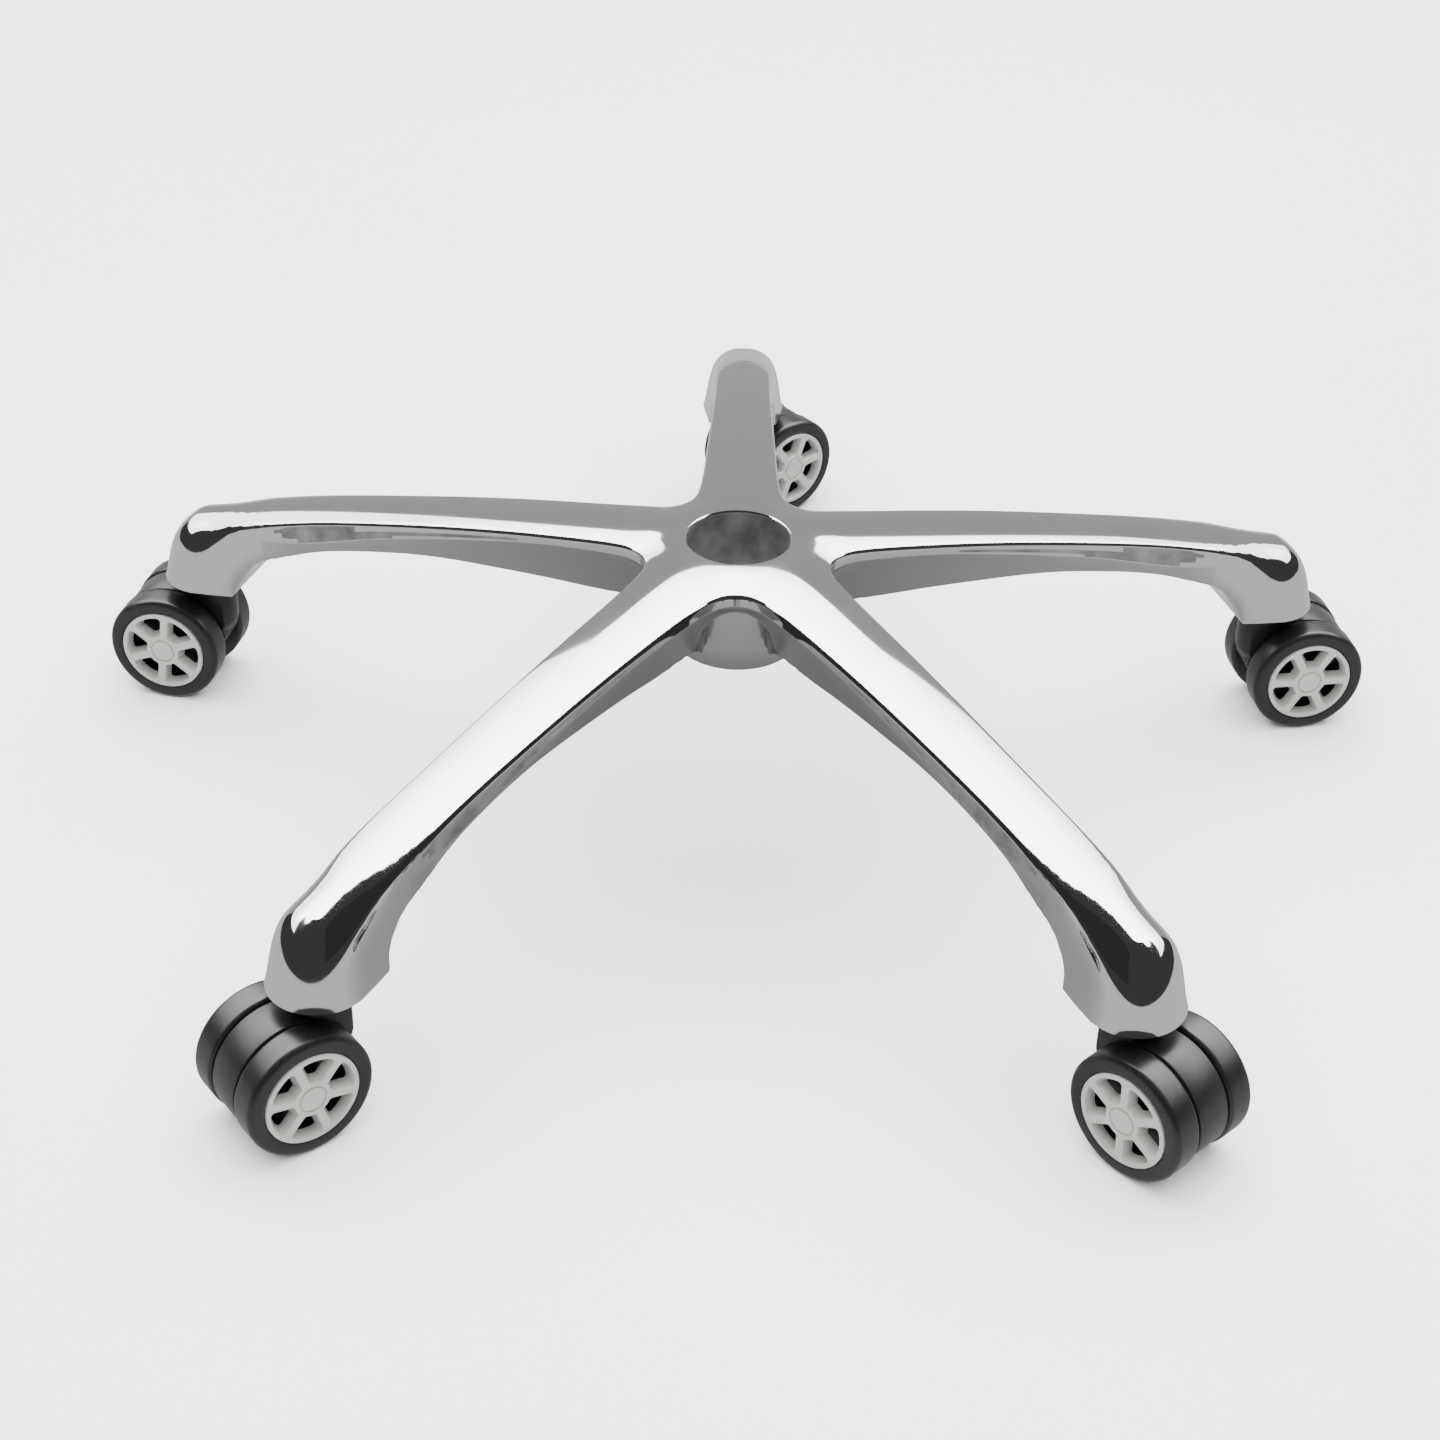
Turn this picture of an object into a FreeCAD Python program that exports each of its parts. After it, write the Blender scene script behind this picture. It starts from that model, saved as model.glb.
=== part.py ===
# Five star office chair base: a polished cast spider on five swivelling twin wheel casters.
# Millimetres. The origin is the centre of the gas lift bore at the top of the hub, +Z is up.
# Heights in the tables below are above the floor, and every solid is lowered to the origin at the end.
import FreeCAD
import Part
import math
import os

Vec = FreeCAD.Vector

# Overall sizes
hub_height = 151.0
stem_circle = 294.0
arm_count = 5
sector = 360.0 / arm_count
polished_edge = 2.2

# Gas lift hub
bore_mouth_dia = 50.0
bore_half_taper_deg = 1.438
bore_chamfer = 0.8
barrel_radius = 31.0
barrel_bottom = 94.0
barrel_edge = 1.5

# Open channel under each arm
channel_wall = 3.0
channel_roof = 5.5
channel_start = 60.0
channel_end = 250.0
channel_drop = 12.0

# Foot and stem socket
foot_bottom = 68.3
foot_inner = 269.7
boss_clear_radius = 30.0
socket_dia = 11.4
socket_depth = 30.0

# Swivel stem
stem_dia = 11.0
stem_length = 28.0
stem_chamfer = 1.2
groove_dia = 10.2
groove_width = 5.0
groove_from_top = 5.0
grip_ring_gap_deg = 60.0
grip_ring_play = 0.1
collar_dia = 18.0
collar_thickness = 1.0
spigot_dia = 8.0
spigot_length = 18.0
running_clearance = 0.05
swivel_gap = 0.3
spigot_end_gap = 1.0

# Caster housing
caster_trail = 20.0
hood_half_width = 9.2
hood_radius = 29.2
hood_thickness = 3.6
hood_end_height = 19.0
web_half_width = 2.4
boss_radius = 13.2
boss_rim = 6.0
boss_front_low = 41.0
boss_slant_low = 27.0
axle_boss_radius = 8.0
boss_edge = 0.8

# Twin wheels
wheel_dia = 60.0
axle_dia = 8.0
axle_half_length = 20.0
axle_chamfer = 0.6
wheel_inner_face = 10.4
wheel_outer_face = 25.0
rim_radius = 22.5
rim_inner_radius = 19.4
rim_set_in = 0.8
wheel_hub_radius = 7.0
disc_inner_face = 14.0
disc_outer_face = 16.5
inner_shoulder = 1.8
outer_shoulder = 2.8

# Deep spoked cap in the outer face of each wheel. Its windows narrow towards the back
cap_back = 20.6
cap_face = 25.6
cap_clearance = 0.1
cap_ring_inner = 20.1
cap_hub_radius = 8.8
spoke_count = 6
spoke_half_width = 2.0
window_corner = 2.4
window_inner_corner = 1.2
window_draft = 1.3
corner_fullness = 0.41
cap_disc_radius = 5.9
cap_disc_rise = 0.5
cap_groove_width = 0.7
cap_groove_depth = 0.6

# Each arm with its bearing, the bearing in which its caster trails, both in degrees from +X, and the
# turn at which the spokes of its caps have come to rest
casters = {
    "back": (90.0, 39.3, 7.6),
    "left": (162.0, 168.0, 22.0),
    "front_left": (234.0, 218.1, 47.4),
    "front_right": (306.0, 314.0, 31.6),
    "right": (18.0, 11.3, 58.3),
}

# Arm side walls. Distance from the hub axis, half width at the polished edge, height at which the
# upright band ends, half width and height half way down, half width and height of the lower lip.
wall_stations = [
    (26.0, 44.0, 141.5, 19.5, 124.0, 11.0, 95.0),
    (33.0, 36.0, 141.5, 17.5, 124.0, 11.0, 97.0),
    (38.8, 28.2, 141.5, 16.2, 124.5, 10.4, 101.0),
    (43.5, 23.6, 141.2, 15.2, 125.0, 9.6, 105.0),
    (50.0, 21.2, 141.0, 14.3, 125.5, 8.8, 108.0),
    (64.0, 19.7, 140.0, 13.2, 125.5, 7.6, 108.5),
    (90.0, 18.5, 137.5, 12.4, 124.5, 6.6, 108.5),
    (125.0, 17.4, 132.0, 11.8, 122.0, 6.4, 108.5),
    (160.0, 16.5, 125.0, 11.4, 117.5, 6.6, 107.0),
    (195.0, 15.8, 116.5, 11.8, 111.0, 7.9, 103.0),
    (225.0, 15.7, 108.0, 12.4, 101.5, 11.0, 96.0),
    (245.0, 16.2, 105.0, 15.0, 94.0, 14.0, 84.0),
    (260.0, 16.6, 104.5, 17.2, 88.5, 16.8, 70.0),
    (274.0, 16.7, 102.5, 19.4, 87.5, 20.0, 66.0),
    (294.0, 16.2, 97.5, 21.4, 85.5, 23.5, 66.0),
]

# Ridge of the crowned top face, and how fast the face falls away to each side
ridge_stations = [
    (-8.0, 152.6, 0.0062),
    (20.0, 152.2, 0.0072),
    (45.0, 150.4, 0.0072),
    (75.0, 146.7, 0.0068),
    (110.0, 142.1, 0.0064),
    (150.0, 136.0, 0.0066),
    (190.0, 128.9, 0.0070),
    (225.0, 122.0, 0.0075),
    (255.0, 115.2, 0.0083),
    (278.0, 109.6, 0.0090),
    (293.0, 105.2, 0.0115),
    (302.0, 100.5, 0.0160),
    (309.0, 93.2, 0.0180),
    (314.5, 84.0, 0.0180),
    (318.5, 73.5, 0.0180),
    (321.0, 64.0, 0.0180),
]

# Underside of the arm, from the barrel gusset along the arch to the inner corner of the foot
arch_points = [
    (28.0, 98.5),
    (36.0, 105.3),
    (45.0, 109.6),
    (58.0, 111.2),
    (75.0, 111.3),
    (105.0, 111.0),
    (135.0, 110.8),
    (165.0, 109.7),
    (195.0, 106.1),
    (225.0, 100.8),
    (245.0, 94.0),
    (256.0, 88.5),
    (263.0, 81.5),
    (269.7, 68.3),
]


def line(a, b):
    return Part.LineSegment(a, b).toShape()


def three_point_arc(a, b, c):
    return Part.Arc(a, b, c).toShape()


def polygon(points):
    return Part.makePolygon(points + [points[0]])


def revolve(points, angle=360.0):
    face = Part.Face(polygon(points))
    return face.revolve(Vec(0, 0, 0), Vec(0, 0, 1), angle)


def ring(outer, inner, bottom, top):
    body = Part.makeCylinder(outer, top - bottom, Vec(0, 0, bottom))
    return body.cut(Part.makeCylinder(inner, top - bottom, Vec(0, 0, bottom)))


def clean(shape):
    return shape.removeSplitter()


def turned(shape, degrees):
    copy = shape.copy()
    copy.rotate(Vec(0, 0, 0), Vec(0, 0, 1), degrees)
    return copy


# Cast spider. One arm lies along +X, with x the distance from the hub axis


def wall_section(station):
    x, w_top, z_band, w_mid, z_mid, w_low, z_low = station
    crest = 170.0
    edges = [
        line(Vec(x, -w_top, crest), Vec(x, w_top, crest)),
        line(Vec(x, w_top, crest), Vec(x, w_top, z_band)),
        three_point_arc(Vec(x, w_top, z_band), Vec(x, w_mid, z_mid), Vec(x, w_low, z_low)),
        line(Vec(x, w_low, z_low), Vec(x, -w_low, z_low)),
        three_point_arc(Vec(x, -w_low, z_low), Vec(x, -w_mid, z_mid), Vec(x, -w_top, z_band)),
        line(Vec(x, -w_top, z_band), Vec(x, -w_top, crest)),
    ]
    return Part.Wire(edges)


def arm_walls():
    return Part.makeLoft([wall_section(s) for s in wall_stations], True, False)


def foot_front():
    x, w_top, z_band, w_mid, z_mid, w_low, z_low = wall_stations[-1]
    edges = [
        line(Vec(0, 0, z_low), Vec(0, 0, 170.0)),
        line(Vec(0, 0, 170.0), Vec(0, w_top, 170.0)),
        line(Vec(0, w_top, 170.0), Vec(0, w_top, z_band)),
        three_point_arc(Vec(0, w_top, z_band), Vec(0, w_mid, z_mid), Vec(0, w_low, z_low)),
        line(Vec(0, w_low, z_low), Vec(0, 0, z_low)),
    ]
    face = Part.Face(Part.Wire(edges))
    half = face.revolve(Vec(0, 0, 0), Vec(0, 0, 1), -180.0)
    half.translate(Vec(x, 0, 0))
    return half


def crown_section(station, reach=34.0, floor=20.0):
    x, z, fall = station
    side = z - fall * reach * reach
    top = three_point_arc(Vec(x, -reach, side), Vec(x, 0, z), Vec(x, reach, side))
    return Part.Wire([
        top,
        line(Vec(x, reach, side), Vec(x, reach, floor)),
        line(Vec(x, reach, floor), Vec(x, -reach, floor)),
        line(Vec(x, -reach, floor), Vec(x, -reach, side)),
    ])


def crown():
    return Part.makeLoft([crown_section(s) for s in ridge_stations], True, False)


def arch_cut():
    points = [Vec(x, 0, z) for x, z in arch_points]
    curve = Part.BSplineCurve()
    curve.interpolate(points)
    first = points[0]
    last = points[-1]
    profile = Part.Wire([
        curve.toShape(),
        line(last, Vec(last.x, 0, 0)),
        line(Vec(last.x, 0, 0), Vec(first.x, 0, 0)),
        line(Vec(first.x, 0, 0), first),
    ])
    cut = Part.Face(profile).extrude(Vec(0, 120, 0))
    cut.translate(Vec(0, -60, 0))
    return cut


def sector_wedge():
    reach = 400.0
    side = reach * math.tan(math.radians(sector / 2))
    face = Part.Face(polygon([Vec(0, 0, 0), Vec(reach, -side, 0), Vec(reach, side, 0)]))
    return face.extrude(Vec(0, 0, hub_height))


def barrel():
    top = hub_height + 20
    r = barrel_radius
    low = barrel_bottom
    return revolve([
        Vec(0, 0, low),
        Vec(r - barrel_edge, 0, low),
        Vec(r, 0, low + barrel_edge),
        Vec(r, 0, top),
        Vec(0, 0, top),
    ])


def crown_height(x):
    for low, high in zip(ridge_stations, ridge_stations[1:]):
        if low[0] <= x <= high[0]:
            part = (x - low[0]) / (high[0] - low[0])
            return low[1] + part * (high[1] - low[1])
    return ridge_stations[-1][1]


def channel_section(station):
    x, w_top, z_band, w_mid, z_mid, w_low, z_low = station
    roof = crown_height(x) - channel_roof
    corners = [
        (w_low - channel_wall, z_low - channel_drop),
        (w_low - channel_wall, z_low),
        (w_mid - channel_wall, z_mid),
        (w_top - channel_wall, roof),
    ]
    right = [Vec(x, -w, z) for w, z in corners]
    left = [Vec(x, w, z) for w, z in reversed(corners)]
    return polygon(right + left)


def arm_channel():
    inside = [s for s in wall_stations if channel_start < s[0] < channel_end]
    return Part.makeLoft([channel_section(s) for s in inside], True, False)


def stem_socket():
    return Part.makeCylinder(socket_dia / 2, socket_depth, Vec(stem_circle, 0, foot_bottom))


def round_top_edges(body):
    top = max(body.Faces, key=lambda f: f.Area)
    half_sector = sector / 2
    edges = []
    for edge in top.Edges:
        middle = edge.CenterOfMass
        bearing = abs(math.degrees(math.atan2(middle.y, middle.x)))
        level = edge.BoundBox.ZLength < 0.01
        if not level and bearing < half_sector - 1.5 and middle.x > boss_clear_radius:
            edges.append(edge)
    return body.makeFillet(polished_edge, edges)


def arm_sector():
    below_foot = Part.makeBox(120, 120, foot_bottom, Vec(foot_inner - 20, -60, 0))
    walls = arm_walls().cut(arch_cut()).cut(below_foot)
    body = walls.fuse(foot_front().cut(below_foot)).fuse(barrel())
    body = clean(body.common(crown()).common(sector_wedge()))
    body = round_top_edges(body)
    return body.cut(arm_channel()).cut(stem_socket())


def gas_lift_bore():
    mouth = bore_mouth_dia / 2
    depth = hub_height - barrel_bottom
    low = mouth - depth * math.tan(math.radians(bore_half_taper_deg))
    top = hub_height
    return revolve([
        Vec(0, 0, barrel_bottom),
        Vec(low, 0, barrel_bottom),
        Vec(mouth, 0, top - bore_chamfer),
        Vec(mouth + bore_chamfer, 0, top),
        Vec(0, 0, top),
    ])


def spider_casting():
    one = arm_sector()
    arms = [turned(one, arm) for arm, heading, turn in casters.values()]
    whole = clean(arms[0].fuse(arms[1:]))
    return whole.cut(gas_lift_bore())


# Caster pieces. The swivel axis is the Z axis, the wheels trail along +X and the axle lies along Y


def stem():
    r = stem_dia / 2
    top = foot_bottom + stem_length
    groove_top = top - groove_from_top
    groove_low = groove_top - groove_width
    collar_low = foot_bottom - collar_thickness
    spigot = spigot_dia / 2
    spigot_low = collar_low - spigot_length
    return revolve([
        Vec(0, 0, spigot_low),
        Vec(spigot - stem_chamfer / 2, 0, spigot_low),
        Vec(spigot, 0, spigot_low + stem_chamfer / 2),
        Vec(spigot, 0, collar_low),
        Vec(collar_dia / 2, 0, collar_low),
        Vec(collar_dia / 2, 0, foot_bottom),
        Vec(r, 0, foot_bottom),
        Vec(r, 0, groove_low),
        Vec(groove_dia / 2, 0, groove_low),
        Vec(groove_dia / 2, 0, groove_top),
        Vec(r, 0, groove_top),
        Vec(r, 0, top - stem_chamfer),
        Vec(r - stem_chamfer, 0, top),
        Vec(0, 0, top),
    ])


def grip_ring():
    top = foot_bottom + stem_length - groove_from_top - grip_ring_play
    low = top - groove_width + 2 * grip_ring_play
    face = Part.Face(polygon([
        Vec(groove_dia / 2, 0, low),
        Vec(socket_dia / 2, 0, low),
        Vec(socket_dia / 2, 0, top),
        Vec(groove_dia / 2, 0, top),
    ]))
    return face.revolve(Vec(0, 0, 0), Vec(0, 0, 1), 360.0 - grip_ring_gap_deg)


def across(radius, half_width, x, z):
    return Part.makeCylinder(radius, 2 * half_width, Vec(x, -half_width, z), Vec(0, 1, 0))


def slab(points, half_width):
    face = Part.Face(polygon([Vec(x, -half_width, z) for x, z in points]))
    return face.extrude(Vec(0, 2 * half_width, 0))


def hood():
    x = caster_trail
    z = wheel_dia / 2
    inner = hood_radius - hood_thickness
    end = hood_end_height
    shell = across(hood_radius, hood_half_width, x, z).cut(across(inner, hood_half_width, x, z))
    web = across(inner + 1, web_half_width, x, z)
    floor_side = [(-40, -10), (80, -10), (80, end), (x, end), (-boss_radius, boss_slant_low + 6), (-40, 60)]
    return shell.fuse(web).cut(slab(floor_side, 3 * hood_half_width))


def boss():
    top = foot_bottom - collar_thickness - swivel_gap
    rim_low = top - boss_rim
    head = Part.makeCylinder(boss_radius, boss_rim - boss_edge, Vec(0, 0, rim_low))
    edge = Part.makeCone(boss_radius, boss_radius - boss_edge, boss_edge, Vec(0, 0, top - boss_edge))
    neck = Part.makeCylinder(boss_radius, rim_low - boss_slant_low, Vec(0, 0, boss_slant_low))
    outline = [
        (-boss_radius - 1, rim_low),
        (-boss_radius - 1, boss_front_low),
        (-boss_radius + 3, boss_front_low - 5),
        (-boss_radius / 2, boss_slant_low),
        (boss_radius, boss_slant_low),
        (boss_radius, rim_low),
    ]
    neck = neck.common(slab(outline, hood_half_width))
    return head.fuse(edge).fuse(neck)


def housing():
    x = caster_trail
    z = wheel_dia / 2
    axle_boss = across(axle_boss_radius, hood_half_width, x, z)
    body = hood().fuse(boss()).fuse(axle_boss)
    top = foot_bottom - collar_thickness - swivel_gap
    bore_depth = spigot_length + spigot_end_gap - swivel_gap
    bore = Part.makeCylinder(spigot_dia / 2 + running_clearance, bore_depth, Vec(0, 0, top - bore_depth))
    axle_hole = across(axle_dia / 2, hood_half_width, x, z)
    return clean(body.cut(bore).cut(axle_hole))


def axle():
    z = wheel_dia / 2
    r = axle_dia / 2
    end = axle_half_length
    pin = revolve([
        Vec(0, 0, -end),
        Vec(r - axle_chamfer, 0, -end),
        Vec(r, 0, -end + axle_chamfer),
        Vec(r, 0, end - axle_chamfer),
        Vec(r - axle_chamfer, 0, end),
        Vec(0, 0, end),
    ])
    pin.rotate(Vec(0, 0, 0), Vec(1, 0, 0), -90)
    pin.translate(Vec(caster_trail, 0, z))
    return pin


# Wheel pieces are turned about the Z axis with their outer face up, then laid on the axle


def wheel_core():
    bore = axle_dia / 2 + running_clearance
    inner = wheel_inner_face + rim_set_in
    return revolve([
        Vec(bore, 0, wheel_inner_face),
        Vec(wheel_hub_radius, 0, wheel_inner_face),
        Vec(wheel_hub_radius, 0, disc_inner_face),
        Vec(rim_inner_radius, 0, disc_inner_face),
        Vec(rim_inner_radius, 0, inner),
        Vec(rim_radius, 0, inner),
        Vec(rim_radius, 0, cap_back),
        Vec(rim_inner_radius, 0, cap_back),
        Vec(rim_inner_radius, 0, disc_outer_face),
        Vec(wheel_hub_radius, 0, disc_outer_face),
        Vec(wheel_hub_radius, 0, cap_back),
        Vec(bore, 0, cap_back),
    ])


def corner_arc(centre, radius, start_deg, end_deg):
    def at(degrees):
        turn = math.radians(degrees)
        return centre + Vec(radius * math.cos(turn), 0, radius * math.sin(turn))
    return three_point_arc(at(start_deg), at((start_deg + end_deg) / 2), at(end_deg))


def tyre():
    tread = wheel_dia / 2
    inner = wheel_inner_face
    outer = wheel_outer_face
    inner_centre = Vec(tread - inner_shoulder, 0, inner + inner_shoulder)
    outer_centre = Vec(tread - outer_shoulder, 0, outer - outer_shoulder)
    edges = [
        line(Vec(rim_radius, 0, inner), Vec(tread - inner_shoulder, 0, inner)),
        corner_arc(inner_centre, inner_shoulder, -90, 0),
        line(Vec(tread, 0, inner + inner_shoulder), Vec(tread, 0, outer - outer_shoulder)),
        corner_arc(outer_centre, outer_shoulder, 0, 90),
        line(Vec(tread - outer_shoulder, 0, outer), Vec(rim_radius, 0, outer)),
        line(Vec(rim_radius, 0, outer), Vec(rim_radius, 0, inner)),
    ]
    return Part.Face(Part.Wire(edges)).revolve(Vec(0, 0, 0), Vec(0, 0, 1), 360.0)


def polar(radius, degrees, z):
    turn = math.radians(degrees)
    return Vec(radius * math.cos(turn), radius * math.sin(turn), z)


def rounded_corner(before, corner, after):
    middle = (before + after) * 0.5
    middle = middle + (corner - middle) * corner_fullness
    return three_point_arc(before, middle, after)


def window_section(inset, z):
    half_pitch = 180.0 / spoke_count
    edge = spoke_half_width + inset
    far = cap_ring_inner - inset
    near = cap_hub_radius + inset
    far_corner = half_pitch - math.degrees(math.asin(edge / far))
    near_corner = half_pitch - math.degrees(math.asin(edge / near))
    far_turn = far_corner - math.degrees(window_corner / far)
    near_turn = near_corner - math.degrees(window_inner_corner / near)
    edges = []
    for side in (1, -1):
        far_point = polar(far, side * far_corner, z)
        near_point = polar(near, side * near_corner, z)
        along = (near_point - far_point).normalize()
        upper = far_point + along * window_corner
        lower = near_point - along * window_inner_corner
        far_end = polar(far, side * far_turn, z)
        near_end = polar(near, side * near_turn, z)
        edges.append(rounded_corner(far_end, far_point, upper))
        edges.append(line(upper, lower))
        edges.append(rounded_corner(lower, near_point, near_end))
    edges.append(three_point_arc(polar(far, far_turn, z), polar(far, 0, z), polar(far, -far_turn, z)))
    edges.append(three_point_arc(polar(near, near_turn, z), polar(near, 0, z), polar(near, -near_turn, z)))
    return Part.Wire(Part.__sortEdges__(edges))


def cap_window():
    overrun = cap_face - cap_back
    back = window_section(window_draft * 2, cap_back - overrun)
    front = window_section(-window_draft, cap_face + overrun)
    return Part.makeLoft([back, front], True, True)


def hub_cap():
    r = rim_radius - cap_clearance
    disc = Part.makeCylinder(r, cap_face - cap_back, Vec(0, 0, cap_back))
    centre = Part.makeCylinder(cap_disc_radius, cap_disc_rise, Vec(0, 0, cap_face))
    outer = cap_disc_radius + cap_groove_width
    groove = ring(outer, cap_disc_radius, cap_face - cap_groove_depth, cap_face)
    cap = clean(disc.fuse(centre).cut(groove))
    window = cap_window()
    half_pitch = 180.0 / spoke_count
    for index in range(spoke_count):
        cap = cap.cut(turned(window, (2 * index + 1) * half_pitch))
    return cap


def on_axle(shape, side):
    laid = shape.copy()
    laid.rotate(Vec(0, 0, 0), Vec(1, 0, 0), -90 * side)
    laid.translate(Vec(caster_trail, 0, wheel_dia / 2))
    return laid


def place(shape, arm, heading):
    turn = math.radians(arm)
    moved = turned(shape, heading)
    moved.translate(Vec(stem_circle * math.cos(turn), stem_circle * math.sin(turn), 0))
    return moved


def save(shape, node):
    lowered = shape.copy()
    lowered.translate(Vec(0, 0, -hub_height))
    lowered.exportStep("parts/" + node + ".step")


os.makedirs("parts", exist_ok=True)
save(spider_casting(), "spider_casting")

middle_pieces = {
    "stem": stem(),
    "grip_ring": grip_ring(),
    "housing": housing(),
    "axle": axle(),
}
wheel_pieces = {
    "wheel_core": wheel_core(),
    "tyre": tyre(),
    "hub_cap": hub_cap(),
}
for name, (arm, heading, turn) in casters.items():
    for piece, shape in middle_pieces.items():
        save(place(shape, arm, heading), piece + "_" + name)
    for piece, shape in wheel_pieces.items():
        wheel_turned = turned(shape, turn)
        save(place(on_axle(wheel_turned, 1), arm, heading), piece + "_" + name + "_lh")
        save(place(on_axle(wheel_turned, -1), arm, heading), piece + "_" + name + "_rh")
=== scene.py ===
# %% [markdown]
# A polished five star base of an office chair, on five twin wheel casters.
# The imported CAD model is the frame. Each piece below stands for a CAD piece: it is built in metres,
# in the same place, and rides on the same body, so the swivels and wheels still move.

import math

import bmesh
import bpy
import numpy as np
from mathutils import Matrix, Vector


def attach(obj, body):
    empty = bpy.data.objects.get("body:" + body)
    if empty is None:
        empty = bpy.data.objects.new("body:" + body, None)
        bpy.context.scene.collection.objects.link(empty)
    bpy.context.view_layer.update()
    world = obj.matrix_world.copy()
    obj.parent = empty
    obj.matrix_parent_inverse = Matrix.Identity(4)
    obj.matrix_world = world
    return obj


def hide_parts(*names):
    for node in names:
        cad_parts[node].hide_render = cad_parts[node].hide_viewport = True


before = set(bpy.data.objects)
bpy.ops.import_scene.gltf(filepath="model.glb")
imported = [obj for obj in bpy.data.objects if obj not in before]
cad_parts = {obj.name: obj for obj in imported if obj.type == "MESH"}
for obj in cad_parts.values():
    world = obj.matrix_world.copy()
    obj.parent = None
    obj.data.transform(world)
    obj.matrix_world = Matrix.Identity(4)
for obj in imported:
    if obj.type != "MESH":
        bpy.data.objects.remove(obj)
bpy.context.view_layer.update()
MM = 0.001
HUB_HEIGHT = 151.0

# %% [markdown]
# Each caster is known by the arm that it stands under. Two bearings place it: that of the arm, and
# the one in which the caster trails. A third angle turns the spoked caps, which have all stopped in
# different places.

# %% Where the casters are
STEM_CIRCLE = 294.0
CASTERS = {
    "back": (90.0, 39.3),
    "left": (162.0, 168.0),
    "front_left": (234.0, 218.1),
    "front_right": (306.0, 314.0),
    "right": (18.0, 11.3),
}
CAP_TURN = {"back": 7.6, "left": 22.0, "front_left": 47.4, "front_right": 31.6, "right": 58.3}
SIDES = {"lh": 1, "rh": -1}
print(len(CASTERS), "casters on a circle of radius", STEM_CIRCLE, "mm")

# %% [markdown]
# The casting is measured at stations along one arm. A smooth curve through the stations gives every
# value between them, so the polished faces have no kinks that a reflection would show.

# %% Smooth curves through stations


def natural_curve(xs, ys):
    xs = np.array(xs, float)
    ys = np.array(ys, float)
    count = len(xs)
    gaps = np.diff(xs)
    matrix = np.eye(count)
    right = np.zeros(count)
    for i in range(1, count - 1):
        matrix[i, i - 1] = gaps[i - 1]
        matrix[i, i] = 2 * (gaps[i - 1] + gaps[i])
        matrix[i, i + 1] = gaps[i]
        slope_after = (ys[i + 1] - ys[i]) / gaps[i]
        slope_before = (ys[i] - ys[i - 1]) / gaps[i - 1]
        right[i] = 6 * (slope_after - slope_before)
    bend = np.linalg.solve(matrix, right)

    def at(x):
        i = int(np.clip(np.searchsorted(xs, x) - 1, 0, count - 2))
        gap = gaps[i]
        a = (xs[i + 1] - x) / gap
        b = (x - xs[i]) / gap
        curve = (a**3 - a) * bend[i] + (b**3 - b) * bend[i + 1]
        return float(a * ys[i] + b * ys[i + 1] + curve * gap * gap / 6)

    return at


def curve_through(points):
    points = [Vector(p) for p in points]
    reach = [0.0]
    for a, b in zip(points, points[1:]):
        reach.append(reach[-1] + (b - a).length)
    axes = [natural_curve(reach, [p[i] for p in points]) for i in range(len(points[0]))]

    def at(distance):
        return Vector([axis(distance) for axis in axes])

    return at, reach


def soft_low(a, b, width):
    near = max(width - abs(a - b), 0.0) / width
    return min(a, b) - near * near * width / 4


def soft_high(a, b, width):
    return -soft_low(-a, -b, width)


def ease(low, high, x):
    t = min(max((x - low) / (high - low), 0.0), 1.0)
    return t * t * (3 - 2 * t)


def mix(a, b, t):
    return a + (b - a) * t


def halve(low, high, is_below, times):
    for _ in range(times):
        middle = (low + high) / 2
        if is_below(middle):
            low = middle
        else:
            high = middle
    return low, high


print("curve test", round(natural_curve([0, 1, 2], [0, 1, 0])(0.5), 3))

# %% [markdown]
# One arm lies along +X here. u is the distance from the hub's axis, v the distance from the arm's
# middle plane. The crown is the polished top face: a ridge that falls towards the foot, and drops
# away to each side. Next to the hub the crowns of two arms flow into each other.

# %% The crown of the arms
HALF_SECTOR = math.radians(36)
CORNER_POINT = (38.83, 28.21)
FOOT_TOP = 105.3
RIDGE = [
    (-8.0, 152.6, 0.0062),
    (20.0, 152.2, 0.0072),
    (45.0, 150.4, 0.0072),
    (75.0, 146.7, 0.0068),
    (110.0, 142.1, 0.0064),
    (150.0, 136.0, 0.0066),
    (190.0, 128.9, 0.0070),
    (225.0, 122.0, 0.0075),
    (255.0, 115.2, 0.0083),
    (278.0, 109.6, 0.0090),
    (STEM_CIRCLE, FOOT_TOP, 0.0105),
    (304.0, 102.3, 0.0115),
]
CROWNS_MEET_WITHIN = 90.0
CROWN_BLEND = 6.0
LAND_BLEND = 1.0
ridge_height = natural_curve([s[0] for s in RIDGE], [s[1] for s in RIDGE])
ridge_fall = natural_curve([s[0] for s in RIDGE], [s[2] for s in RIDGE])


def crown(u, v):
    return ridge_height(u) - ridge_fall(u) * v * v


def in_next_arm(u, v):
    reach = math.hypot(u, v)
    bearing = 2 * HALF_SECTOR - math.atan2(v, u)
    return reach * math.cos(bearing), reach * math.sin(bearing)


def top_height(u, v):
    height = crown(u, v)
    if u < CROWNS_MEET_WITHIN:
        height = soft_high(height, crown(*in_next_arm(u, v)), CROWN_BLEND)
        height = soft_low(height, HUB_HEIGHT, LAND_BLEND)
    return height


print("edge height at the corner between two arms", round(top_height(*CORNER_POINT), 2))

# %% [markdown]
# Under the polished edge runs a narrow upright band. Below it the wall leans in to a keel along the
# arm, and leans out again over the foot. The wall at a station is a parabola through three points:
# the foot of the band, half way down, and the lip.

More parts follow.
